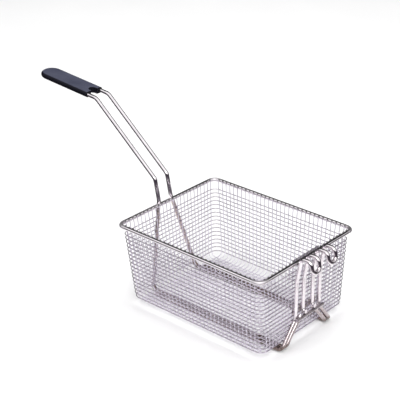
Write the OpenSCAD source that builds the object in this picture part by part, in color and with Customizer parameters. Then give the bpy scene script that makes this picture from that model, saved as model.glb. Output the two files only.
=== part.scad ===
// Deep fryer basket: a wire mesh tub under a rod rim, carried by one bent handle rod.
// X runs from the handle end to the hook end, Y across, Z up.
// The origin lies on the table under the middle of the rim.

/* [Rim] */
// Length of the rim between rod centres
rim_length = 222; // [200:1:250]
// Width of the rim between rod centres
rim_width = 180; // [160:1:200]
// Height of the rim's rod centre above the table
rim_height = 109; // [95:1:130]
// Bend radius of the rim's corners, at the rod centre
rim_corner = 9; // [7:0.5:12]
// Diameter of the rim, handle and hook rods
rod_d = 5; // [4:0.1:5.2]

/* [Mesh] */
// Diameter of a mesh wire
wire_d = 1.1; // [0.9:0.05:1.3]
// Spacing of the upright wires at the rim
upright_pitch = 6.4; // [6:0.1:8]
// Height from the rim's centre down to the first ring wire
first_ring = 11.8; // [9:0.1:14]
// Spacing of the ring wires
ring_pitch = 5.39; // [5:0.01:6.5]
// How far the handle end's wall leans in, for each mm down
handle_wall_lean = 0.104; // [0.05:0.001:0.14]
// How far the side walls lean in, for each mm down
side_wall_lean = 0.068; // [0.03:0.001:0.09]
// Bend radius where the walls turn into the floor
floor_bend = 8; // [7:0.5:10]
// Corner radius of the top ring wire
top_ring_corner = 9; // [7:0.5:9.5]
// Corner radius of the bottom ring wire
bottom_ring_corner = 11; // [9:0.5:11.5]

/* [Handle] */
// Distance between the handle's two legs
leg_spacing = 22; // [18:0.5:26]
// How far the legs stand above the rim before they slope away
leg_rise = 31; // [20:0.5:40]
// How far the legs lean out over that rise
leg_lean = 6.5; // [0:0.5:12]
// How far the sloping legs lead out to the bend before the grip
leg_run = 108; // [95:1:115]
// How far the grip's closed end reaches from the middle of the rim
grip_reach = 333; // [325:1:350]
// Length of the grip
grip_length = 94; // [85:1:98]
// Height of the grip's middle above the table
grip_height = 228; // [210:1:245]
// How far the grip's closed end stands above its mouth
grip_rise = 7.5; // [0:0.5:15]
// Wall of the grip outside each leg
grip_wall = 1.25; // [1:0.25:4]
// Thickness of the grip
grip_thick = 8; // [7.5:0.5:12]
// Distance of the handle's runners from the middle
inner_runner = 40.8; // [36:0.1:43]

/* [Hooks] */
// Distance between the two legs of one hook
hook_width = 14; // [13:0.5:15]
// Distance of a hook's inner leg from the middle
hook_inner = 9; // [8:0.5:11]
// How far a hook reaches out from its legs
hook_reach = 22.3; // [20:0.1:26]
// How much of that reach the falling tip takes
hook_nose = 3.5; // [2:0.5:6]
// How far the hooks' tips fall below the rim's centre
hook_drop = 7; // [5:0.5:9]
// Height of the hooks' crest above the rim's centre, at the rod centre
hook_crest = 7.5; // [6:0.1:10]
// Height of the crossbar above the table
crossbar_z = 35; // [32:0.5:40]
// Diameter of the crossbar
crossbar_d = 4; // [3:0.1:4.5]

/* [Strips] */
// Thickness of the two flat strips
strip_t = 1; // [0.8:0.1:1.2]
// Height of the strip at the hook end's rim
rim_strip_h = 9; // [6:0.5:12]
// Height of the strip at the hooks' feet
foot_strip_h = 8; // [6:0.5:12]

/* [Hidden] */
$fn = 36;
// Clearance where one piece lies on the next
lay = 0.1;
// Gap between one layer of mesh wires and the next
seat = 0.05;
// Clearance round the rod inside the grip
sleeve_gap = 0.15;
// Web that stays between the grip's notch and each leg
notch_web = 3;
// How far a bend laps over the straight beside it, and how much thicker it is, as a share
lap = 0.2;
swell = 0.02;
half_l = rim_length / 2;
half_w = rim_width / 2;
rod_r = rod_d / 2;
wire_r = wire_d / 2;

// The wires of the walls hang inside the rim's rod, and the ring wires lie outside them.
wall_inset = rod_r + wire_r + lay + seat;
layer = wire_d + seat;

// The handle's runners carry the lengthwise wires, which carry the crosswise ones.
runner_z = rod_r;
lengthwise_z = rod_d + wire_r + seat;
crosswise_z = lengthwise_z + layer;
// How far the upright wires stand above the rim's centre
wire_end = 1.5;
wire_top = rim_height + wire_end;
lengthwise_depth = rim_height - lengthwise_z;
crosswise_depth = rim_height - crosswise_z;
// The lowest ring wire stays at least this far above the floor's wires.
ring_clear = 3;
ring_count = 1 + floor((crosswise_depth - first_ring - ring_clear) / ring_pitch);

// Half spans over which the upright wires stand at the rim, clear of the rings' corners
corner_clear = 1.5;
span_l = half_l - top_ring_corner - corner_clear;
span_w = half_w - top_ring_corner - corner_clear;
crosswise_count = 1 + floor(2 * span_l / upright_pitch);
lengthwise_count = 1 + floor(2 * span_w / upright_pitch);

// Where the same wires lie on the floor, inside its bends
floor_inset = wall_inset + floor_bend + 2;
floor_handle_x = -(half_l - floor_inset - handle_wall_lean * crosswise_depth);
floor_hook_x = half_l - floor_inset;
floor_side_y = half_w - floor_inset - side_wall_lean * crosswise_depth;

// The rods of the hook end stand against the ring wires there.
hook_wall_x = half_l - wall_inset + layer + wire_r + rod_r + lay;
hook_rim_x = half_l + rod_d + lay;
hook_outer = hook_inner + hook_width;
hook_lean_z = 0.78 * rim_height;
crest_z = rim_height + hook_crest;
crest_x = mix(hook_wall_x, hook_rim_x + seat, (crest_z - hook_lean_z) / (rim_height - hook_lean_z));
// Gap between the handle's runner and the hook rod's runner beside it
runner_gap = 2.2;
outer_runner = inner_runner + rod_d + runner_gap;
// How far the hook rods' runners stop short of the handle end's wall
runner_stop = 10;
// How far the handle rod's ends stand outside the hooks' inner legs
foot_step = 3.4;
// Room above the crossbar under the feet of the hooks' inner legs
foot_clear = 0.3;
// How far below the crossbar's middle the hooks' outer legs turn outward
foot_drop = 2;
// How far the crossbar's ends stand out past the hooks' outer legs
crossbar_over = 3;

// The handle's rods touch the rim and the lowest ring wire of the handle end.
handle_rim_x = -(half_l + rod_d + lay);
low_ring_depth = first_ring + (ring_count - 1) * ring_pitch;
low_ring_x = -ring_out(half_l, handle_wall_lean, lengthwise_depth, low_ring_depth);
handle_low_x = low_ring_x - wire_r - rod_r - lay;
handle_slope = (handle_low_x - handle_rim_x) / low_ring_depth;
handle_foot_x = handle_rim_x + handle_slope * (rim_height - runner_z);
leg_y = leg_spacing / 2;
// How far the rod keeps the wall's slope above the rim's centre
slope_over = 3;

// Bend radii of the rods: tight, at the hooks, medium and wide
rod_bend = 1.2 * rod_d;
hook_bend = 1.3 * rod_d;
leg_bend = 1.6 * rod_d;
wide_bend = 2.4 * rod_d;

// The grip's own line: it starts from its middle and climbs to the closed end.
grip_tilt = atan(grip_rise / grip_length);
grip_mid_x = -grip_reach + grip_length / 2;
grip_width = leg_spacing + rod_d + 2 * grip_wall;
end_bend = 0.9 * leg_y;
rod_end = -grip_length / 2 + rod_r + grip_wall;
leg_bend_x = handle_rim_x - leg_run;
leg_bend_z = grip_height - (leg_bend_x - grip_mid_x) * tan(grip_tilt);

function unit(v) = v / norm(v);
function mix(a, b, t) = a + (b - a) * t;

// How far out a ring wire lies, at a depth below the rim, on a wall that leans in
// and turns into the floor
function ring_out(reach, lean, floor_depth, depth) =
    let (tilt = atan(lean), middle = floor_depth - floor_bend, turned = floor_bend + layer)
    depth <= middle + turned * sin(tilt) ?
        reach - wall_inset - lean * depth + layer / cos(tilt) :
        reach - wall_inset - lean * middle - floor_bend / cos(tilt)
            + sqrt(pow(turned, 2) - pow(depth - middle, 2));

// Sizes are kept to a thousandth of a millimetre, so that pieces meet face to face.
function fine(v) = round(v * 1000) / 1000;

// A rod's route is a list of points: its direction, bend angle and bend axis at each
function heading(p, i) = unit(p[i + 1] - p[i]);
function turn(p, i) = acos(heading(p, i) * heading(p, i + 1));
function bend_axis(p, i) = unit(cross(heading(p, i), heading(p, i + 1)));
function bend_cut(p, r, i) = r[i] * tan(turn(p, i) / 2);
function roll(p, i) =
    atan2(
        cross(bend_axis(p, i), bend_axis(p, i + 1)) * heading(p, i + 1),
        bend_axis(p, i) * bend_axis(p, i + 1));

// A bend that starts upward and turns towards X.
// It is a hair thicker than the straights and laps over them, so that they join as one.
module bend(angle, r, d) {
    lap_angle = lap / r * 180 / PI;
    translate([r, 0, 0])
        rotate([90, 0, 180])
            rotate([0, 0, -lap_angle])
                rotate_extrude(angle = angle + 2 * lap_angle)
                    translate([r, 0])
                        circle(d = d * (1 + swell));
}

// Feeds the rod straight up, bends it, rolls it, and goes on from there
module feed(p, r, d, i, used) {
    bends_on = i < len(p) - 2;
    cut = bends_on ? bend_cut(p, r, i) : 0;
    length = norm(p[i + 1] - p[i]) - used - cut;
    cylinder(h = length, d = d);
    if (bends_on)
        translate([0, 0, length]) {
            bend(turn(p, i), r[i], d);
            translate([r[i], 0, 0])
                rotate([0, turn(p, i), 0])
                    translate([-r[i], 0, 0])
                        rotate([0, 0, i < len(p) - 3 ? roll(p, i) : 0])
                            feed(p, r, d, i + 1, cut);
        }
}

// A bent rod through a list of points, with one bend radius for each inner point
module bent_rod(p, r, d) {
    z = heading(p, 0);
    y = bend_axis(p, 0);
    x = cross(y, z);
    multmatrix([
        [x.x, y.x, z.x, p[0].x],
        [x.y, y.y, z.y, p[0].y],
        [x.z, y.z, z.z, p[0].z],
        [0, 0, 0, 1]
    ])
        feed(p, r, d, 0, 0);
}

// One straight side of a ring, from a corner's bend to the next, and that bend
module ring_side(length, r, d) {
    translate([0, -length, 0])
        rotate([-90, 0, 0])
            cylinder(h = length, d = d);
    translate([-r, 0, 0])
        rotate_extrude(angle = 90)
            translate([r, 0])
                circle(d = d);
}

// A closed ring of rod with four rounded corners
module ring_rod(x0, x1, y1, z, r, d) {
    left = fine(x0);
    right = fine(x1);
    side = fine(y1);
    bend_r = fine(r);
    long = right - left - 2 * bend_r;
    wide = 2 * (side - bend_r);
    translate([right, side - bend_r, fine(z)])
        ring_side(wide, bend_r, d);
    translate([left + bend_r, side, fine(z)])
        rotate([0, 0, 90])
            ring_side(long, bend_r, d);
    translate([left, bend_r - side, fine(z)])
        rotate([0, 0, 180])
            ring_side(wide, bend_r, d);
    translate([right - bend_r, -side, fine(z)])
        rotate([0, 0, 270])
            ring_side(long, bend_r, d);
}

// A straight bar across the basket
module cross_rod(x, half, z, d) {
    translate([x, half, z])
        rotate([90, 0, 0])
            cylinder(h = 2 * half, d = d);
}

module rim_rod() {
    color("gainsboro")
        ring_rod(-half_l, half_l, half_w, rim_height, rim_corner, rod_d);
}

// One mesh wire that runs the length of the floor and up both end walls
module lengthwise_wire(t) {
    y_rim = mix(-span_w, span_w, t);
    y_floor = mix(-floor_side_y, floor_side_y, t);
    wall_y = (y_rim - y_floor) / lengthwise_depth;
    y_top = y_floor + wall_y * (wire_top - lengthwise_z);
    over = wire_top - rim_height;
    x_handle = -(half_l - wall_inset);
    x_hook = half_l - wall_inset;
    bent_rod([
        [x_handle - handle_wall_lean * over, y_top, wire_top],
        [x_handle + handle_wall_lean * lengthwise_depth, y_floor, lengthwise_z],
        [x_hook, y_floor, lengthwise_z],
        [x_hook, y_top, wire_top]
    ], [floor_bend, floor_bend], wire_d);
}

module lengthwise_wires() {
    color("silver")
        for (i = [0:lengthwise_count - 1])
            lengthwise_wire(i / (lengthwise_count - 1));
}

// One mesh wire that runs across the floor and up both side walls
module crosswise_wire(t) {
    x_rim = mix(-span_l, span_l, t);
    x_floor = mix(floor_handle_x, floor_hook_x, t);
    wall_x = (x_rim - x_floor) / crosswise_depth;
    x_top = x_floor + wall_x * (wire_top - crosswise_z);
    y_top = half_w - wall_inset + side_wall_lean * (wire_top - rim_height);
    y_floor = half_w - wall_inset - side_wall_lean * crosswise_depth;
    bent_rod([
        [x_top, -y_top, wire_top],
        [x_floor, -y_floor, crosswise_z],
        [x_floor, y_floor, crosswise_z],
        [x_top, y_top, wire_top]
    ], [floor_bend, floor_bend], wire_d);
}

module crosswise_wires() {
    color("silver")
        for (i = [0:crosswise_count - 1])
            crosswise_wire(i / (crosswise_count - 1));
}

// One mesh wire that runs round all four walls
module ring_wire(i) {
    depth = first_ring + i * ring_pitch;
    ring_rod(
        -ring_out(half_l, handle_wall_lean, lengthwise_depth, depth),
        ring_out(half_l, 0, lengthwise_depth, depth),
        ring_out(half_w, side_wall_lean, crosswise_depth, depth),
        rim_height - depth,
        mix(top_ring_corner, bottom_ring_corner, i / (ring_count - 1)),
        wire_d);
}

module ring_wires() {
    color("silver")
        for (i = [0:ring_count - 1])
            ring_wire(i);
}

// The rod's route on one side: foot of the hook wall, runner, handle wall, leg and grip
function handle_side(side) = [
    [hook_wall_x, side * (hook_inner + foot_step), crossbar_z],
    [hook_wall_x, side * inner_runner, runner_z],
    [handle_foot_x, side * inner_runner, runner_z],
    [handle_rim_x - slope_over * handle_slope, side * leg_y, rim_height + slope_over],
    [handle_rim_x - leg_lean, side * leg_y, rim_height + leg_rise],
    [leg_bend_x, side * leg_y, leg_bend_z],
    [
        grip_mid_x + rod_end * cos(grip_tilt),
        side * leg_y,
        grip_height - rod_end * sin(grip_tilt)
    ]
];

module handle_rod() {
    near = handle_side(-1);
    far = handle_side(1);
    back = [for (i = [len(far) - 1:-1:0]) far[i]];
    side_bends = [rod_bend, rod_bend, wide_bend, leg_bend, wide_bend];
    color("gainsboro")
        bent_rod(
            concat(near, back),
            concat(side_bends, [end_bend, end_bend],
                [for (i = [4:-1:0]) side_bends[i]]),
            rod_d);
}

// Flat section of the grip, as two rounded edges joined by a square
module grip_section() {
    edge = (grip_width - grip_thick) / 2;
    square([2 * edge, grip_thick], center = true);
    for (s = [-1, 1])
        translate([s * edge, 0])
            circle(d = grip_thick);
}

// The grip lies along X from its closed end to its mouth, before it is tilted
module grip_blank(closed_x, mouth_x) {
    edge = (grip_width - grip_thick) / 2;
    end_x = closed_x + grip_width / 2;
    translate([end_x, 0, 0])
        rotate([90, 0, 90])
            linear_extrude(mouth_x - end_x)
                grip_section();
    // The closed end, rounded in plan and at its edges
    translate([end_x, 0, 0])
        rotate([0, 0, 90])
            rotate_extrude(angle = 180) {
                translate([0, -grip_thick / 2])
                    square([edge, grip_thick]);
                translate([edge, 0])
                    intersection() {
                        circle(d = grip_thick);
                        translate([0, -grip_thick])
                            square([grip_thick, 2 * grip_thick]);
                    }
            }
}

module grip() {
    mouth_x = grip_length / 2;
    notch_r = (leg_spacing - rod_d) / 2 - notch_web;
    color([0.1, 0.1, 0.13])
        translate([grip_mid_x, 0, grip_height])
            rotate([0, grip_tilt, 0])
                difference() {
                    grip_blank(-grip_length / 2, mouth_x);
                    // Channel for the rod's two legs and the turn between them
                    bent_rod([
                        [mouth_x + rod_d, -leg_y, 0],
                        [rod_end, -leg_y, 0],
                        [rod_end, leg_y, 0],
                        [mouth_x + rod_d, leg_y, 0]
                    ], [end_bend, end_bend], rod_d + 2 * sleeve_gap);
                    // Notch between the two sleeves at the mouth
                    translate([mouth_x - notch_r / 2, 0, 0])
                        cylinder(h = 2 * grip_thick, r = notch_r, center = true);
                    translate([mouth_x, 0, 0])
                        cube([notch_r, 2 * notch_r, 2 * grip_thick], center = true);
                }
}

// One hook: a hairpin over the rail, an inner foot, and an outer leg that runs under the floor
module hook_wire(side) {
    tip_x = hook_wall_x + hook_reach;
    crest_y = [hook_inner, hook_outer];
    function over(y) = [
        [hook_wall_x, side * y, hook_lean_z],
        [crest_x, side * y, crest_z],
        [tip_x - hook_nose, side * y, crest_z],
        [tip_x, side * y, rim_height - hook_drop]
    ];
    inner = over(crest_y[0]);
    outer = over(crest_y[1]);
    foot_z = crossbar_z + crossbar_d / 2 + rod_r + foot_clear;
    points = concat(
        [[hook_wall_x + rod_d, side * hook_inner, foot_z],
         [hook_wall_x, side * hook_inner, foot_z]],
        inner,
        [for (i = [3:-1:0]) outer[i]],
        [[hook_wall_x, side * hook_outer, crossbar_z - foot_drop],
         [hook_wall_x, side * outer_runner, runner_z],
         [handle_foot_x + runner_stop, side * outer_runner, runner_z]]);
    tip_bend = 0.43 * hook_width;
    color("gainsboro")
        bent_rod(points,
            [0.8 * rod_d, wide_bend, hook_bend, hook_bend, tip_bend,
             tip_bend, hook_bend, hook_bend, wide_bend, leg_bend, rod_bend],
            rod_d);
}

module left_hook_wire() {
    hook_wire(-1);
}

module right_hook_wire() {
    hook_wire(1);
}

module crossbar() {
    x = hook_wall_x + rod_r + crossbar_d / 2 + lay;
    color("gainsboro")
        cross_rod(x, hook_outer + crossbar_over, crossbar_z, crossbar_d);
}

// A flat strip that lies against the inside of an end wall's wires
module strip(x, width, low, high) {
    color("whitesmoke")
        translate([x - strip_t / 2, -width / 2, low])
            cube([strip_t, width, high - low]);
}

module hook_rim_strip() {
    x = half_l - wall_inset - wire_r - lay - strip_t / 2;
    high = rim_height + 0.4 * rod_d;
    strip(x, 2 * hook_outer + rod_d, high - rim_strip_h, high);
}

module hook_foot_strip() {
    x = half_l - wall_inset - wire_r - lay - strip_t / 2;
    low = crossbar_z + crossbar_d / 4;
    strip(x, 2 * hook_outer, low, low + foot_strip_h);
}

rim_rod();
lengthwise_wires();
crosswise_wires();
ring_wires();
handle_rod();
grip();
left_hook_wire();
right_hook_wire();
crossbar();
hook_rim_strip();
hook_foot_strip();
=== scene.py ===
# %% [markdown]
# # Deep fryer basket
# A basket of this kind is bent from plated rod and mesh wire and welded at
# every touch, with a moulded grip over the end of its handle. An exact model
# of it exists already. This lesson gives that model its metals, its plastic
# and its welds, and photographs it in a small studio. The first cell loads
# the model. Its pieces stay where they are and only get materials, and
# everything else is added round them.

# %% load the exact basket
import math
import bmesh
import bpy
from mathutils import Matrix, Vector


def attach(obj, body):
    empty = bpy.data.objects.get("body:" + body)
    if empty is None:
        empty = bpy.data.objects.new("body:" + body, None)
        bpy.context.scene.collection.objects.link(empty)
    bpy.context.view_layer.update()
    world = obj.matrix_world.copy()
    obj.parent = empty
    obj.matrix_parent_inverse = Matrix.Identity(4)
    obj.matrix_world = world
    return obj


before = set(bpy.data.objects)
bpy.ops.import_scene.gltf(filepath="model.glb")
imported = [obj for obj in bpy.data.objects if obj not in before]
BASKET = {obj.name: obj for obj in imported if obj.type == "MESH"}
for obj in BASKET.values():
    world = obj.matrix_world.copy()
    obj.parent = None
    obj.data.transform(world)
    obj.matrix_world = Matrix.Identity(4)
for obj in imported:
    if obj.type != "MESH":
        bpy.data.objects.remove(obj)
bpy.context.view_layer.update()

print("pieces of the basket:", ", ".join(sorted(BASKET)))

# %% [markdown]
# ## Sizes of the tub
# The weld spots further down have to land where two wires cross. The
# crossings could be searched for on the meshes, but the wires follow simple
# rules, so it is shorter and exact to work them out from the sizes that the
# wires were bent to. All sizes are in metres. The handle wall and both side
# walls lean inwards on their way down, and the hook wall stands upright.

# %% sizes that the tub was bent to
RIM_HALF_LENGTH = 0.111
RIM_HALF_WIDTH = 0.090
RIM_HEIGHT = 0.109
ROD_RADIUS = 0.0025
WIRE_RADIUS = 0.00055
WIRE_SEAT = 0.00005
RIM_SEAT = 0.00015
HANDLE_WALL_LEAN = 0.104
SIDE_WALL_LEAN = 0.068
FLOOR_BEND = 0.008
FLOOR_EDGE = 0.002
CORNER_ROOM = 0.0105
UPRIGHT_PITCH = 0.0064
RING_PITCH = 0.00539
FIRST_RING = 0.0118
RING_CLEAR = 0.003
print("rim in mm:", round(2000 * RIM_HALF_LENGTH), "by", round(2000 * RIM_HALF_WIDTH))

# %% [markdown]
# ## Layers and counts of the mesh
# The tub has three layers of wire. Lengthwise wires lie on the rods under
# the floor, crosswise wires lie on them, and rings run round the outside.
# The counts follow from the pitches, so nothing has to be counted by hand.

# %% where the layers lie, and how many wires each has
LAYER = 2 * WIRE_RADIUS + WIRE_SEAT
WALL_INSET = ROD_RADIUS + WIRE_RADIUS + RIM_SEAT
LENGTHWISE_Z = 2 * ROD_RADIUS + WIRE_RADIUS + WIRE_SEAT
CROSSWISE_Z = LENGTHWISE_Z + LAYER
LENGTHWISE_DEPTH = RIM_HEIGHT - LENGTHWISE_Z
CROSSWISE_DEPTH = RIM_HEIGHT - CROSSWISE_Z
SPAN_X = RIM_HALF_LENGTH - CORNER_ROOM
SPAN_Y = RIM_HALF_WIDTH - CORNER_ROOM
RINGS = 1 + int((CROSSWISE_DEPTH - FIRST_RING - RING_CLEAR) / RING_PITCH)
CROSSWISE = 1 + int(2 * SPAN_X / UPRIGHT_PITCH)
LENGTHWISE = 1 + int(2 * SPAN_Y / UPRIGHT_PITCH)


def floor_reach(reach, lean):
    """How far from the middle the flat floor ends under a wall with this lean."""
    return reach - WALL_INSET - lean * CROSSWISE_DEPTH - FLOOR_BEND - FLOOR_EDGE


FLOOR_HANDLE_X = -floor_reach(RIM_HALF_LENGTH, HANDLE_WALL_LEAN)
FLOOR_HOOK_X = floor_reach(RIM_HALF_LENGTH, 0)
FLOOR_Y = floor_reach(RIM_HALF_WIDTH, SIDE_WALL_LEAN)
print("rings", RINGS, "crosswise wires", CROSSWISE, "lengthwise wires", LENGTHWISE)

# %% [markdown]
# ## A blank material
# Plated metal and moulded plastic are never one flat colour. An image could
# be painted on, but it needs an unwrapped surface. A tree of nodes works on
# 74 bent wires just as they are, so every finish here is such a tree. This
# helper makes one that holds only a Principled shader.

# %% helper for a blank material
def new_material(name):
    """A material, its tree and its Principled shader."""
    mat = bpy.data.materials.new(name)
    mat.use_nodes = True
    tree = mat.node_tree
    tree.nodes.clear()
    out = tree.nodes.new("ShaderNodeOutputMaterial")
    shader = tree.nodes.new("ShaderNodeBsdfPrincipled")
    tree.links.new(shader.outputs["BSDF"], out.inputs["Surface"])
    return mat, tree, shader


def shader_of(mat):
    return [n for n in mat.node_tree.nodes if n.type == "BSDF_PRINCIPLED"][0]


def output_of(mat):
    return [n for n in mat.node_tree.nodes if n.type == "OUTPUT_MATERIAL"][0]


print("blank material: one Principled shader")

# %% [markdown]
# ## Marks and tones
# Patches, smudges and specks are all noise of different sizes. The noise is
# measured on the object and not on the picture, so a mark keeps its place
# and size from every side. Each kind of mark is given as its scale and its
# detail. A colour ramp then turns the noise into tones.

# %% helpers for marks and their tones
NOISE_LOW = 0.3
NOISE_HIGH = 0.7


def marks(tree, scale, detail, roughness=0.5):
    """Cloudy noise. A larger scale makes smaller marks."""
    coord = tree.nodes.new("ShaderNodeTexCoord")
    cloud = tree.nodes.new("ShaderNodeTexNoise")
    cloud.inputs["Scale"].default_value = scale
    cloud.inputs["Detail"].default_value = detail
    cloud.inputs["Roughness"].default_value = roughness
    tree.links.new(coord.outputs["Object"], cloud.inputs["Vector"])
    return cloud.outputs["Fac"]


def grey(level):
    return (level, level, level)


def tones(tree, factor, stops):
    """The colours of the stops, each a pair of a place from 0 to 1 and a colour."""
    node = tree.nodes.new("ShaderNodeValToRGB")
    band = node.color_ramp
    while len(band.elements) < len(stops):
        band.elements.new(0.5)
    for element, (place, colour) in zip(band.elements, stops):
        element.position = place
        element.color = (*colour, 1)
    tree.links.new(factor, node.inputs["Fac"])
    return node.outputs["Color"]


def spread(tree, cloud, low, high, high_place=NOISE_HIGH):
    """Tones from low to high over the range that noise mostly stays in."""
    return tones(tree, cloud, [(NOISE_LOW, low), (high_place, high)])


print("noise is spread from", NOISE_LOW, "to", NOISE_HIGH)

# %% [markdown]
# ## Fine grain
# Drawn wire and moulded plastic have a grain that is felt more than seen.
# Real dents that small would take millions of faces. A bump only tilts the
# light on the surface, which is enough at a few hundredths of a millimetre.

# %% helper for the grain
def fine_grain(tree, shader, height, strength, distance):
    node = tree.nodes.new("ShaderNodeBump")
    node.inputs["Strength"].default_value = strength
    node.inputs["Distance"].default_value = distance
    tree.links.new(height, node.inputs["Height"])
    tree.links.new(node.outputs["Normal"], shader.inputs["Normal"])


METAL_GRAIN = 0.00004
PLASTIC_GRAIN = 0.00006
print("grain in mm: metal", 1000 * METAL_GRAIN, "plastic", 1000 * PLASTIC_GRAIN)

# %% [markdown]
# ## Plated metals
# The whole basket is plated steel, but its finish differs with the piece.
# The bent rods are polished until they mirror the room, the mesh wire is
# drawn and stays satin, and the flat strips are duller again. One recipe
# serves them all: patches of two tones, smudges that make it smoother or
# rougher, and a fine grain.

# %% recipe for plated metal
PATCHES = (90, 4)
SMUDGES = (260, 3)
SMUDGES_HIGH = 0.75
DRAWN_GRAIN = (2600, 2)


def plated(name, dark, light, roughness, grain):
    """A metal of two tones and two roughnesses, with the grain as strong as stated."""
    mat, tree, shader = new_material(name)
    shader.inputs["Metallic"].default_value = 1.0
    patches = marks(tree, *PATCHES)
    tree.links.new(spread(tree, patches, dark, light), shader.inputs["Base Color"])
    smooth, rough = roughness
    smudges = marks(tree, *SMUDGES)
    tree.links.new(
        spread(tree, smudges, grey(smooth), grey(rough), SMUDGES_HIGH),
        shader.inputs["Roughness"])
    fine_grain(tree, shader, marks(tree, *DRAWN_GRAIN), grain, METAL_GRAIN)
    return mat


print("plated metal: scale and detail of patches", PATCHES, "and smudges", SMUDGES)

# %% [markdown]
# ## Metals of the bent rods
# The rim and the handle mirror the studio almost cleanly. The hooks are a
# touch greyer, and the crossbar gets a darker tone, painted shade of the hooks.

# %% metals of the bent rods
rod_metal = plated(
    "bright_rod", dark=(0.78, 0.74, 0.77), light=(0.92, 0.88, 0.91),
    roughness=(0.04, 0.10), grain=0.10)
hook_metal = plated(
    "hook_rod", dark=(0.74, 0.69, 0.72), light=(0.87, 0.82, 0.85),
    roughness=(0.04, 0.10), grain=0.10)
# painted shade: the crossbar's darker tone stands in for the shade of the hooks
crossbar_metal_painted_shade = plated(
    "crossbar_rod_painted_shade", dark=(0.34, 0.30, 0.32), light=(0.52, 0.47, 0.49),
    roughness=(0.10, 0.20), grain=0.15)
print("rod metals:", rod_metal.name, hook_metal.name, crossbar_metal_painted_shade.name)

# %% [markdown]
# ## Metals of the mesh
# The rings look darker in the photograph than the uprights behind them,
# though both are the same plated wire. So the rings get a darker tone as
# painted shade, and the uprights a pale and duller one with a lavender cast,
# paler as painted light.

# %% metals of the mesh
# painted shade and painted light: one plated wire in two tones, dark for the rings and pale for the
# uprights
ring_metal_painted_shade = plated(
    "mesh_wire", dark=(0.41, 0.36, 0.43), light=(0.60, 0.54, 0.62),
    roughness=(0.22, 0.34), grain=0.35)
upright_metal_painted_light = plated(
    "upright_wire_painted_light", dark=(0.90, 0.855, 0.95), light=(0.97, 0.935, 1.0),
    roughness=(0.45, 0.60), grain=0.35)
print("mesh metals:", ring_metal_painted_shade.name, upright_metal_painted_light.name)

# %% [markdown]
# ## Metals of the strips and the welds
# Two flat strips stiffen the hook wall. The one at the hooks' feet has
# browned near the hot oil. A weld is burnt dark and has the coarsest grain.

# %% metals of the strips and the welds
strip_metal = plated(
    "strip_steel", dark=(0.78, 0.75, 0.79), light=(0.92, 0.89, 0.93),
    roughness=(0.30, 0.45), grain=0.30)
foot_strip_metal = plated(
    "foot_strip_steel", dark=(0.52, 0.45, 0.42), light=(0.84, 0.77, 0.74),
    roughness=(0.34, 0.50), grain=0.30)
weld_metal = plated(
    "weld_bead", dark=(0.11, 0.10, 0.11), light=(0.28, 0.26, 0.27),
    roughness=(0.30, 0.50), grain=0.50)
print("strip and weld metals:", strip_metal.name, foot_strip_metal.name, weld_metal.name)

# %% [markdown]
# ## Masks by place
# A rod that runs from the grip to under the floor is one piece, yet only its
# lower end sits in hot oil. Cutting it in two would be false to the real
# rod. So the finish changes with the place on the basket: a mask is 1 where
# a mark belongs, 0 elsewhere, and slopes between the two.

# %% helpers for masks by place
def place_on_basket(tree):
    """Sockets for the place along, across and up the basket, in metres."""
    coord = tree.nodes.new("ShaderNodeTexCoord")
    split = tree.nodes.new("ShaderNodeSeparateXYZ")
    tree.links.new(coord.outputs["Object"], split.inputs["Vector"])
    return split.outputs["X"], split.outputs["Y"], split.outputs["Z"]


def fade(tree, value, full, none):
    """A mask that is 1 at full and beyond it, 0 at none and beyond it."""
    node = tree.nodes.new("ShaderNodeMapRange")
    node.inputs["From Min"].default_value = full
    node.inputs["From Max"].default_value = none
    node.inputs["To Min"].default_value = 1.0
    node.inputs["To Max"].default_value = 0.0
    tree.links.new(value, node.inputs["Value"])
    return node.outputs["Result"]


print("masks read the place in metres, as the sizes above are given")

# %% [markdown]
# ## Masks together
# Most places need more than one limit, such as low down and near the handle.
# Masks are multiplied for that. The blend then puts a mark over the plain
# finish. A Mix node has a socket A and a socket B for each kind of value, so
# those for colours are found by their numbers.

# %% helpers that join masks and use them
MIX_COLOUR_A = 6
MIX_COLOUR_B = 7
MIX_COLOUR_OUT = 2


def overlap(tree, mask, other):
    """A mask that holds where both masks do."""
    node = tree.nodes.new("ShaderNodeMath")
    node.operation = "MULTIPLY"
    tree.links.new(mask, node.inputs[0])
    tree.links.new(other, node.inputs[1])
    return node.outputs[0]


def from_middle(tree, value):
    """The distance from the middle, the same on both sides."""
    node = tree.nodes.new("ShaderNodeMath")
    node.operation = "ABSOLUTE"
    tree.links.new(value, node.inputs[0])
    return node.outputs[0]


def blend(tree, mask, plain, marked):
    """The plain colour where the mask is 0, the marked one where it is 1."""
    mixer = tree.nodes.new("ShaderNodeMix")
    mixer.data_type = "RGBA"
    tree.links.new(mask, mixer.inputs["Factor"])
    tree.links.new(plain, mixer.inputs[MIX_COLOUR_A])
    tree.links.new(marked, mixer.inputs[MIX_COLOUR_B])
    return mixer.outputs[MIX_COLOUR_OUT]


print("marks are blended over the plain finish where a mask holds")

# %% [markdown]
# ## Rods browned by use
# Oil bakes onto the rods where they get hot: on the handle's wall, at the
# splayed feet and most of all under the floor. The stain is a brown tone
# with darker specks. Each of the three places has its own mask, which is
# full at the first number and gone at the second. Specks are given by the
# share of the stain's tone that they keep.

# %% brown stains on a rod
BELOW_RIM_Z = (0.100, 0.107)
HANDLE_WALL_X = (-0.095, -0.085)
FEET_Z = (0.028, 0.036)
UNDER_FLOOR_Z = (0.006, 0.010)
WALL_STAIN = (0.92, 0.79, 0.76)
FEET_STAIN = (0.62, 0.54, 0.55)
FLOOR_STAIN = (0.34, 0.26, 0.24)
WALL_SPECKS = 0.50
FEET_SPECKS = 0.62
FLOOR_SPECKS = 0.40
SPECKS = (420, 5, 0.6)
SPECK_FROM = 0.38
SPECK_TO = 0.60


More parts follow.
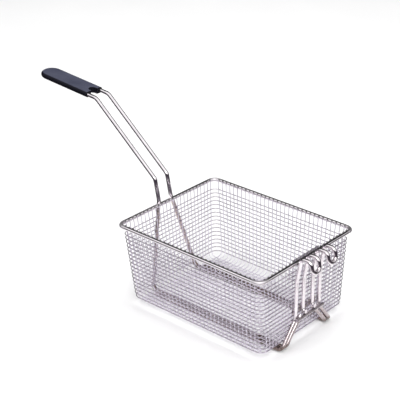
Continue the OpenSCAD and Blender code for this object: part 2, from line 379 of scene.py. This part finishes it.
def stained(tree, tone, speck_share):
    """A tone with specks that keep only a share of it."""
    speck_tone = tuple(speck_share * c for c in tone)
    return tones(tree, marks(tree, *SPECKS), [(SPECK_FROM, speck_tone), (SPECK_TO, tone)])


def brown_with_use(mat):
    """Stains a rod's metal on the handle's wall, at the feet and under the floor."""
    tree = mat.node_tree
    shader = shader_of(mat)
    colour = shader.inputs["Base Color"].links[0].from_socket
    x, y, z = place_on_basket(tree)
    wall = overlap(tree, fade(tree, z, *BELOW_RIM_Z), fade(tree, x, *HANDLE_WALL_X))
    feet = fade(tree, z, *FEET_Z)
    under_floor = fade(tree, z, *UNDER_FLOOR_Z)
    colour = blend(tree, wall, colour, stained(tree, WALL_STAIN, WALL_SPECKS))
    colour = blend(tree, feet, colour, stained(tree, FEET_STAIN, FEET_SPECKS))
    colour = blend(tree, under_floor, colour, stained(tree, FLOOR_STAIN, FLOOR_SPECKS))
    tree.links.new(colour, shader.inputs["Base Color"])


for rod in (rod_metal, hook_metal):
    brown_with_use(rod)
    print("browned:", rod.name)

# %% [markdown]
# ## Rods dulled by wear
# The same rods are no longer mirrors everywhere. Scrubbing dulled the
# handle's wall, the hooks' legs rub on the fryer, and the rim's four bends
# were rubbed as they were made. Colour alone can't show that, so these marks
# only raise the roughness.

# %% dull places on a rod
HOOK_LEG_X = (0.114, 0.112)
RIM_BEND_X = (0.104, 0.092)
RIM_BEND_Y = (0.084, 0.072)
WALL_WEAR = (0.28, 0.38)
LEG_WEAR = (0.20, 0.28)
BEND_WEAR = (0.42, 0.55)


def dulled(tree, mask, rough, wear):
    """Raises the roughness to the range wear where the mask holds."""
    low, high = wear
    worn = spread(tree, marks(tree, *SPECKS), grey(low), grey(high))
    return blend(tree, mask, rough, worn)


def dull_with_wear(mat):
    tree = mat.node_tree
    shader = shader_of(mat)
    rough = shader.inputs["Roughness"].links[0].from_socket
    x, y, z = place_on_basket(tree)
    below_rim = fade(tree, z, *BELOW_RIM_Z)
    wall = overlap(tree, below_rim, fade(tree, x, *HANDLE_WALL_X))
    hook_legs = overlap(tree, fade(tree, x, *HOOK_LEG_X), below_rim)
    rim_bends = overlap(
        tree,
        fade(tree, from_middle(tree, x), *RIM_BEND_X),
        fade(tree, from_middle(tree, y), *RIM_BEND_Y))
    rough = dulled(tree, wall, rough, WALL_WEAR)
    rough = dulled(tree, hook_legs, rough, LEG_WEAR)
    rough = dulled(tree, rim_bends, rough, BEND_WEAR)
    tree.links.new(rough, shader.inputs["Roughness"])


for rod in (rod_metal, hook_metal):
    dull_with_wear(rod)
    print("dulled:", rod.name)

# %% [markdown]
# ## Grip plastic
# The grip is a black plastic sleeve. Its flat top is given a blue-grey colour,
# a painted sheen from the softbox above, while its sides stay almost black.
# A second light could give that contrast, but it would change the metal too.
# A mask by the way that the surface faces paints the sheen on the grip alone.

# %% grip plastic
FACING_UP = (0.97, 0.80)
GRIP_SIDE = ((0.004, 0.004, 0.007), (0.008, 0.008, 0.014))
# The top's lighter blue-grey tone is a painted sheen of the softbox above.
GRIP_TOP_PAINTED_SHEEN = ((0.044, 0.047, 0.074), (0.068, 0.072, 0.104))
GRIP_CLOUDS = (35, 3)
grip_plastic, tree, shader = new_material("grip_plastic")
facing = tree.nodes.new("ShaderNodeTexCoord")
facing_parts = tree.nodes.new("ShaderNodeSeparateXYZ")
tree.links.new(facing.outputs["Normal"], facing_parts.inputs["Vector"])
on_top = fade(tree, facing_parts.outputs["Z"], *FACING_UP)
grip_clouds = marks(tree, *GRIP_CLOUDS)
side_black = spread(tree, grip_clouds, *GRIP_SIDE)
# painted sheen: faces that look up get the lighter tone
top_painted_sheen = spread(tree, grip_clouds, *GRIP_TOP_PAINTED_SHEEN)
tree.links.new(blend(tree, on_top, side_black, top_painted_sheen), shader.inputs["Base Color"])
# the print names where the painted sheen on the top begins
print("grip plastic: the painted sheen on top starts where the surface faces up by", FACING_UP[1])

# %% [markdown]
# ## Sheen of the grip
# Moulded plastic is satin, with a sheen that handling evens out on top. The
# sides shine less, so that they don't pick up pale streaks from the room.

# %% sheen of the grip
GRIP_SMUDGES = (120, 4)
GRIP_PORES = (1500, 3)
PORE_STRENGTH = 0.2
GRIP_ROUGHNESS = (0.36, 0.50)
SIDE_SHINE = 0.10
TOP_SHINE = 0.45
grip_smudges = marks(tree, *GRIP_SMUDGES)
tree.links.new(
    spread(tree, grip_smudges, grey(GRIP_ROUGHNESS[0]), grey(GRIP_ROUGHNESS[1])),
    shader.inputs["Roughness"])
tree.links.new(
    tones(tree, on_top, [(0.0, grey(SIDE_SHINE)), (1.0, grey(TOP_SHINE))]),
    shader.inputs["Specular IOR Level"])
fine_grain(tree, shader, marks(tree, *GRIP_PORES), PORE_STRENGTH, PLASTIC_GRAIN)
print("roughness of the grip:", GRIP_ROUGHNESS)

# %% [markdown]
# ## Handing out the finishes
# Each piece of the exact basket gets one finish. A dictionary shows at a
# glance which piece has which, and no piece can be given two.

# %% one finish for each piece
FINISH = {
    "rim_rod": rod_metal,
    "handle_rod": rod_metal,
    # the crossbar's darker tone is painted shade
    "crossbar": crossbar_metal_painted_shade,
    "left_hook_wire": hook_metal,
    "right_hook_wire": hook_metal,
    # the uprights' pale tone is painted light and the rings' dark tone is painted shade
    "lengthwise_wires": upright_metal_painted_light,
    "crosswise_wires": upright_metal_painted_light,
    "ring_wires": ring_metal_painted_shade,
    "hook_rim_strip": strip_metal,
    "hook_foot_strip": foot_strip_metal,
    "grip": grip_plastic,
}
for piece, finish in FINISH.items():
    BASKET[piece].data.materials.clear()
    BASKET[piece].data.materials.append(finish)
print("pieces with a finish:", len(FINISH), "of", len(BASKET))

# %% [markdown]
# ## A set of welds
# A weld is a small squashed ball that closes the hair's breadth between two
# wires. There are over two thousand. As objects of their own they would be
# slow to handle, so this helper joins a whole set in one mesh.

# %% helper for a set of welds
def ball(subdivisions):
    """The corners and faces of a ball with a radius of 1."""
    shape = bmesh.new()
    bmesh.ops.create_icosphere(shape, subdivisions=subdivisions, radius=1.0)
    corners = [v.co.copy() for v in shape.verts]
    faces = [[v.index for v in f.verts] for f in shape.faces]
    shape.free()
    return corners, faces


def add_welds(name, welds, metal, detail):
    """One mesh with a squashed ball for each weld, a pair of a centre and three radii."""
    corners, faces = ball(detail)
    all_corners = []
    all_faces = []
    for centre, radii in welds:
        first = len(all_corners)
        for v in corners:
            squashed = Vector((v.x * radii[0], v.y * radii[1], v.z * radii[2]))
            all_corners.append(squashed + Vector(centre))
        all_faces.extend([[first + i for i in f] for f in faces])
    mesh = bpy.data.meshes.new(name)
    mesh.from_pydata(all_corners, [], all_faces)
    mesh.polygons.foreach_set("use_smooth", [True] * len(mesh.polygons))
    mesh.materials.append(metal)
    obj = bpy.data.objects.new(name, mesh)
    bpy.context.scene.collection.objects.link(obj)
    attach(obj, "root")
    print(name, "has", len(welds), "welds and", len(mesh.polygons), "faces")


print("the plainest ball has", len(ball(1)[1]), "faces")

# %% [markdown]
# ## Where the wires run
# An upright wire leans with its wall, so its place has to be found for each
# height. Lower down, the wall bends into the floor, and a ring there hugs
# the bend. These helpers give the place between two ends, and how far out a
# ring lies at a given depth under the rim.

# %% helpers for the run of the wires
def between(start, end, share):
    return start + (end - start) * share


def shares(count):
    """Even shares from 0 to 1, one for each wire of a layer."""
    return [i / (count - 1) for i in range(count)]


def ring_reach(rim_reach, lean, floor_depth, depth):
    """How far from the middle a ring's centre line lies at this depth."""
    tilt = math.atan(lean)
    straight = floor_depth - FLOOR_BEND
    bend = FLOOR_BEND + LAYER
    if depth <= straight + bend * math.sin(tilt):
        return rim_reach - WALL_INSET - lean * depth + LAYER / math.cos(tilt)
    return (rim_reach - WALL_INSET - lean * straight - FLOOR_BEND / math.cos(tilt)
            + math.sqrt(bend ** 2 - (depth - straight) ** 2))


print("top ring on the hook wall, mm from the middle:",
      round(1000 * ring_reach(RIM_HALF_LENGTH, 0, LENGTHWISE_DEPTH, FIRST_RING), 2))

# %% [markdown]
# ## Weld spots of the floor
# In the floor each lengthwise wire is welded to each crosswise wire. The
# spots sit half way between the two layers and are a little taller than
# wide, so they reach into both wires.

# %% weld spots of the floor
SPOT_ACROSS = 0.00062
SPOT_THROUGH = 0.00075
between_layers = (LENGTHWISE_Z + CROSSWISE_Z) / 2
floor_spots = []
for share_y in shares(LENGTHWISE):
    y = between(-FLOOR_Y, FLOOR_Y, share_y)
    for share_x in shares(CROSSWISE):
        x = between(FLOOR_HANDLE_X, FLOOR_HOOK_X, share_x)
        floor_spots.append((
            (x, y, between_layers),
            (SPOT_ACROSS, SPOT_ACROSS, SPOT_THROUGH)))
print("weld spots of the floor:", len(floor_spots))

# %% [markdown]
# ## Weld spots of the walls
# On the walls each ring is welded to each upright wire that it passes. The
# spots point outwards, along the basket on the end walls and across it on
# the side walls. They go in two sets, which keeps each mesh light.

# %% weld spots of the walls
def end_wall_spots(depth):
    """Spots of one ring on the handle wall and the hook wall."""
    spots = []
    x_hook = ring_reach(RIM_HALF_LENGTH, 0, LENGTHWISE_DEPTH, depth)
    x_handle = -ring_reach(RIM_HALF_LENGTH, HANDLE_WALL_LEAN, LENGTHWISE_DEPTH, depth)
    for share in shares(LENGTHWISE):
        y_rim = between(-SPAN_Y, SPAN_Y, share)
        y_floor = between(-FLOOR_Y, FLOOR_Y, share)
        y = between(y_rim, y_floor, depth / LENGTHWISE_DEPTH)
        for x, side in ((x_hook, 1), (x_handle, -1)):
            spots.append((
                (x - side * LAYER / 2, y, RIM_HEIGHT - depth),
                (SPOT_THROUGH, SPOT_ACROSS, SPOT_ACROSS)))
    return spots


def side_wall_spots(depth):
    """Spots of one ring on the two side walls."""
    spots = []
    y_side = ring_reach(RIM_HALF_WIDTH, SIDE_WALL_LEAN, CROSSWISE_DEPTH, depth)
    for share in shares(CROSSWISE):
        x_rim = between(-SPAN_X, SPAN_X, share)
        x_floor = between(FLOOR_HANDLE_X, FLOOR_HOOK_X, share)
        x = between(x_rim, x_floor, depth / CROSSWISE_DEPTH)
        for side in (-1, 1):
            spots.append((
                (x, side * (y_side - LAYER / 2), RIM_HEIGHT - depth),
                (SPOT_ACROSS, SPOT_THROUGH, SPOT_ACROSS)))
    return spots


mesh_spots = list(floor_spots)
for ring in range(RINGS):
    ring_depth = FIRST_RING + ring * RING_PITCH
    mesh_spots += end_wall_spots(ring_depth)
    mesh_spots += side_wall_spots(ring_depth)
half = len(mesh_spots) // 2
# The mesh spots share the rings' darker tone, which is painted shade.
add_welds("mesh_weld_spots_a", mesh_spots[:half], ring_metal_painted_shade, 1)
add_welds("mesh_weld_spots_b", mesh_spots[half:], ring_metal_painted_shade, 1)

# %% [markdown]
# ## Welds at the rim
# The end of each upright wire is welded to the rim. On the real basket this
# leaves a dark little bead on the upper inner side of the rod, which makes
# the rim look stitched. A pattern painted on the rod would look flat from
# close by, so each bead is a ball, rounder than the spots of the mesh.

# %% weld beads at the rim
RIM_BEAD = (0.0011, 0.0011, 0.0015)
BEAD_INWARDS = 0.80 * ROD_RADIUS
BEAD_UP = 0.55 * ROD_RADIUS
bead_x = RIM_HALF_LENGTH - BEAD_INWARDS
bead_y = RIM_HALF_WIDTH - BEAD_INWARDS
bead_z = RIM_HEIGHT + BEAD_UP
rim_beads = []
for share in shares(LENGTHWISE):
    for side in (-1, 1):
        rim_beads.append(((side * bead_x, between(-SPAN_Y, SPAN_Y, share), bead_z), RIM_BEAD))
for share in shares(CROSSWISE):
    for side in (-1, 1):
        rim_beads.append(((between(-SPAN_X, SPAN_X, share), side * bead_y, bead_z), RIM_BEAD))
add_welds("rim_weld_beads", rim_beads, weld_metal, 2)

# %% [markdown]
# ## Welds of the rods
# The handle's legs and the four hook wires are welded to the rim, and the
# hooks' legs to the crossbar. A weld between two thick rods leaves a larger
# bead, flattened against both. It gets rounder balls, because it shows more.

# %% weld beads of the rods
HANDLE_LEG_Y = 0.011
HOOK_LEG_Y = (0.009, 0.023)
CROSSBAR_HEIGHT = 0.035
ROD_SEAT = 0.0001
HANDLE_BEAD = (0.0016, 0.0030, 0.0022)
HANDLE_BEAD_DROP = 0.0005
HOOK_BEAD = (0.0014, 0.0028, 0.0022)
HOOK_BEAD_INWARDS = 0.0002
CROSSBAR_BEAD = (0.0012, 0.0026, 0.0018)
hook_leg_x = RIM_HALF_LENGTH - WALL_INSET + LAYER + WIRE_RADIUS + ROD_RADIUS + ROD_SEAT
rod_beads = []
for side in (-1, 1):
    rod_beads.append((
        (-RIM_HALF_LENGTH - ROD_RADIUS, side * HANDLE_LEG_Y, RIM_HEIGHT - HANDLE_BEAD_DROP),
        HANDLE_BEAD))
    for leg_y in HOOK_LEG_Y:
        rod_beads.append((
            (RIM_HALF_LENGTH + ROD_RADIUS - HOOK_BEAD_INWARDS, side * leg_y, RIM_HEIGHT),
            HOOK_BEAD))
        rod_beads.append((
            (hook_leg_x + ROD_RADIUS, side * leg_y, CROSSBAR_HEIGHT),
            CROSSBAR_BEAD))
add_welds("rod_weld_beads", rod_beads, weld_metal, 3)

# %% [markdown]
# ## Floor
# The photograph stands on plain white paper. A large plane serves as the
# paper. Its tone is just below white, so that it still takes the shadow.

# %% floor
FLOOR_SIZE = 8
FLOOR_DROP = 0.0002
PAPER = (0.86, 0.88)
PAPER_CLOUDS = (6, 2)
PAPER_ROUGHNESS = 0.9
bpy.ops.mesh.primitive_plane_add(size=FLOOR_SIZE, location=(0, 0, -FLOOR_DROP))
floor = bpy.context.object
floor.name = "floor"
floor_mat, tree, shader = new_material("floor_paper")
tree.links.new(
    spread(tree, marks(tree, *PAPER_CLOUDS), grey(PAPER[0]), grey(PAPER[1])),
    shader.inputs["Base Color"])
shader.inputs["Roughness"].default_value = PAPER_ROUGHNESS
print("floor:", FLOOR_SIZE, "m wide, tone", PAPER)

# %% [markdown]
# ## What the rods mirror of the floor
# Bright metal shows nothing of its own, only the room. A mirrored rod needs
# a dark room next to the white paper, or it vanishes into the white. A
# smaller paper would do that, but its edge would show in the picture. So
# the floor answers mirrored rays alone with a paper that ends a hand's
# breadth outside the basket, and with a dark room beyond it.

# %% the floor in mirrored rays
DARK_ROOM = (0.04, 0.033, 0.045)
PAPER_EDGE = (0.07, 0.06, 0.07)
PAPER_REACH = 0.24
DARK_FROM = 0.31
mirrored = tree.nodes.new("ShaderNodeBsdfDiffuse")
where = tree.nodes.new("ShaderNodeTexCoord")
reach = tree.nodes.new("ShaderNodeVectorMath")
reach.operation = "LENGTH"
tree.links.new(where.outputs["Object"], reach.inputs[0])
paper_and_room = tones(tree, reach.outputs["Value"], [
    (0.0, grey(PAPER[1])), (PAPER_REACH, grey(PAPER[1])), (DARK_FROM, PAPER_EDGE), (1.0, DARK_ROOM)])
tree.links.new(paper_and_room, mirrored.inputs["Color"])
path = tree.nodes.new("ShaderNodeLightPath")
chooser = tree.nodes.new("ShaderNodeMixShader")
tree.links.new(path.outputs["Is Glossy Ray"], chooser.inputs[0])
tree.links.new(shader.outputs["BSDF"], chooser.inputs[1])
tree.links.new(mirrored.outputs["BSDF"], chooser.inputs[2])
tree.links.new(chooser.outputs["Shader"], output_of(floor_mat).inputs["Surface"])
floor.data.materials.append(floor_mat)
print("mirrored paper reaches", PAPER_REACH, "m from the middle of the basket")

# %% [markdown]
# ## Sky of the studio
# The same goes for what is above. Rods in the photograph have a white line
# with a dark one beside it, so the sky is white overhead and dark near the
# horizon. The half of the room behind the basket is dark too, as with a
# black curtain there, which draws the dark edge along the rim.

# %% sky and curtain
TO_CAMERA = (0.655, -0.755, 0.0)
LOW_SKY = (0.06, 0.05, 0.065)
LOW_SKY_Z = 0.22
WHITE_SKY_Z = 0.30
CURTAIN_TONE = grey(0.04)
CURTAIN_ENDS = 0.34
OPEN_FROM = 0.41
WHITE = grey(1.0)
world = bpy.data.worlds.new("studio")
bpy.context.scene.world = world
world.use_nodes = True
tree = world.node_tree
tree.nodes.clear()
coord = tree.nodes.new("ShaderNodeTexCoord")
split = tree.nodes.new("ShaderNodeSeparateXYZ")
tree.links.new(coord.outputs["Generated"], split.inputs["Vector"])
overhead = tones(tree, split.outputs["Z"], [
    (0.0, DARK_ROOM), (LOW_SKY_Z, LOW_SKY), (WHITE_SKY_Z, grey(0.95)), (1.0, WHITE)])
toward = tree.nodes.new("ShaderNodeVectorMath")
toward.operation = "DOT_PRODUCT"
toward.inputs[1].default_value = TO_CAMERA
tree.links.new(coord.outputs["Generated"], toward.inputs[0])
depth_of_room = tree.nodes.new("ShaderNodeMapRange")
depth_of_room.inputs["From Min"].default_value = -1.0
tree.links.new(toward.outputs["Value"], depth_of_room.inputs["Value"])
curtain = tones(tree, depth_of_room.outputs["Result"], [
    (0.0, CURTAIN_TONE), (CURTAIN_ENDS, CURTAIN_TONE), (OPEN_FROM, WHITE), (1.0, WHITE)])
print("the curtain hangs opposite to", TO_CAMERA)

# %% [markdown]
# ## White behind the basket
# Sky and curtain are multiplied and light the metal. The camera itself must
# see plain white behind the basket, so its own rays get another background.

# %% background for light and background for the camera
SKY_STRENGTH = 1.15
curtained = tree.nodes.new("ShaderNodeMix")
curtained.data_type = "RGBA"
curtained.blend_type = "MULTIPLY"
curtained.inputs["Factor"].default_value = 1.0
tree.links.new(overhead, curtained.inputs[MIX_COLOUR_A])
tree.links.new(curtain, curtained.inputs[MIX_COLOUR_B])
sky = tree.nodes.new("ShaderNodeBackground")
tree.links.new(curtained.outputs[MIX_COLOUR_OUT], sky.inputs["Color"])
sky.inputs["Strength"].default_value = SKY_STRENGTH
white = tree.nodes.new("ShaderNodeBackground")
white.inputs["Color"].default_value = (1, 1, 1, 1)
white.inputs["Strength"].default_value = 1.0
path = tree.nodes.new("ShaderNodeLightPath")
chooser = tree.nodes.new("ShaderNodeMixShader")
out = tree.nodes.new("ShaderNodeOutputWorld")
tree.links.new(path.outputs["Is Camera Ray"], chooser.inputs[0])
tree.links.new(sky.outputs["Background"], chooser.inputs[1])
tree.links.new(white.outputs["Background"], chooser.inputs[2])
tree.links.new(chooser.outputs["Shader"], out.inputs["Surface"])
print("sky strength:", SKY_STRENGTH)

# %% [markdown]
# ## Softboxes
# A large softbox overhead gives the soft shadow, and a small one beside the
# camera fills the near walls. The large one is hidden from mirrored rays,
# because a square light would show in each rod as a hard white patch.

# %% softboxes
def softbox(name, place, target, size, watts):
    """A rectangular light at a place, turned to a target."""
    data = bpy.data.lights.new(name, "AREA")
    data.shape = "RECTANGLE"
    data.size, data.size_y = size
    data.energy = watts
    obj = bpy.data.objects.new(name, data)
    bpy.context.scene.collection.objects.link(obj)
    obj.location = place
    obj.rotation_euler = (Vector(target) - Vector(place)).to_track_quat("-Z", "Y").to_euler()
    print(name, "with", watts, "W")
    return obj


top_softbox = softbox(
    "top_softbox", place=(-0.2, 0.3, 1.7), target=(0, 0, 0.05), size=(1.6, 1.6), watts=22)
top_softbox.visible_glossy = False
softbox("camera_softbox", place=(1.1, -1.3, 1.5), target=(0, 0, 0.08), size=(0.9, 0.6), watts=14)

# %% [markdown]
# ## Camera
# The camera stands where the photograph was taken from, about a metre and a
# half away and looking 26 degrees down. Its place was found by laying the
# model's outline over the photograph. The Standard view keeps white white.

# %% camera
LENS_MM = 106.8
SENSOR_MM = 36
CAMERA_PLACE = Vector((0.814, -0.996, 0.771))
CAMERA_AIM = Vector((-0.0817, 0.0284, 0.109))
camera_data = bpy.data.cameras.new("camera")
camera_data.lens = LENS_MM
camera_data.sensor_width = SENSOR_MM
camera = bpy.data.objects.new("camera", camera_data)
bpy.context.scene.collection.objects.link(camera)
camera.location = CAMERA_PLACE
camera.rotation_euler = (CAMERA_AIM - CAMERA_PLACE).to_track_quat("-Z", "Y").to_euler()
bpy.context.scene.camera = camera
bpy.context.scene.view_settings.view_transform = "Standard"
print("camera is", round((CAMERA_AIM - CAMERA_PLACE).length, 3), "m from its aim")
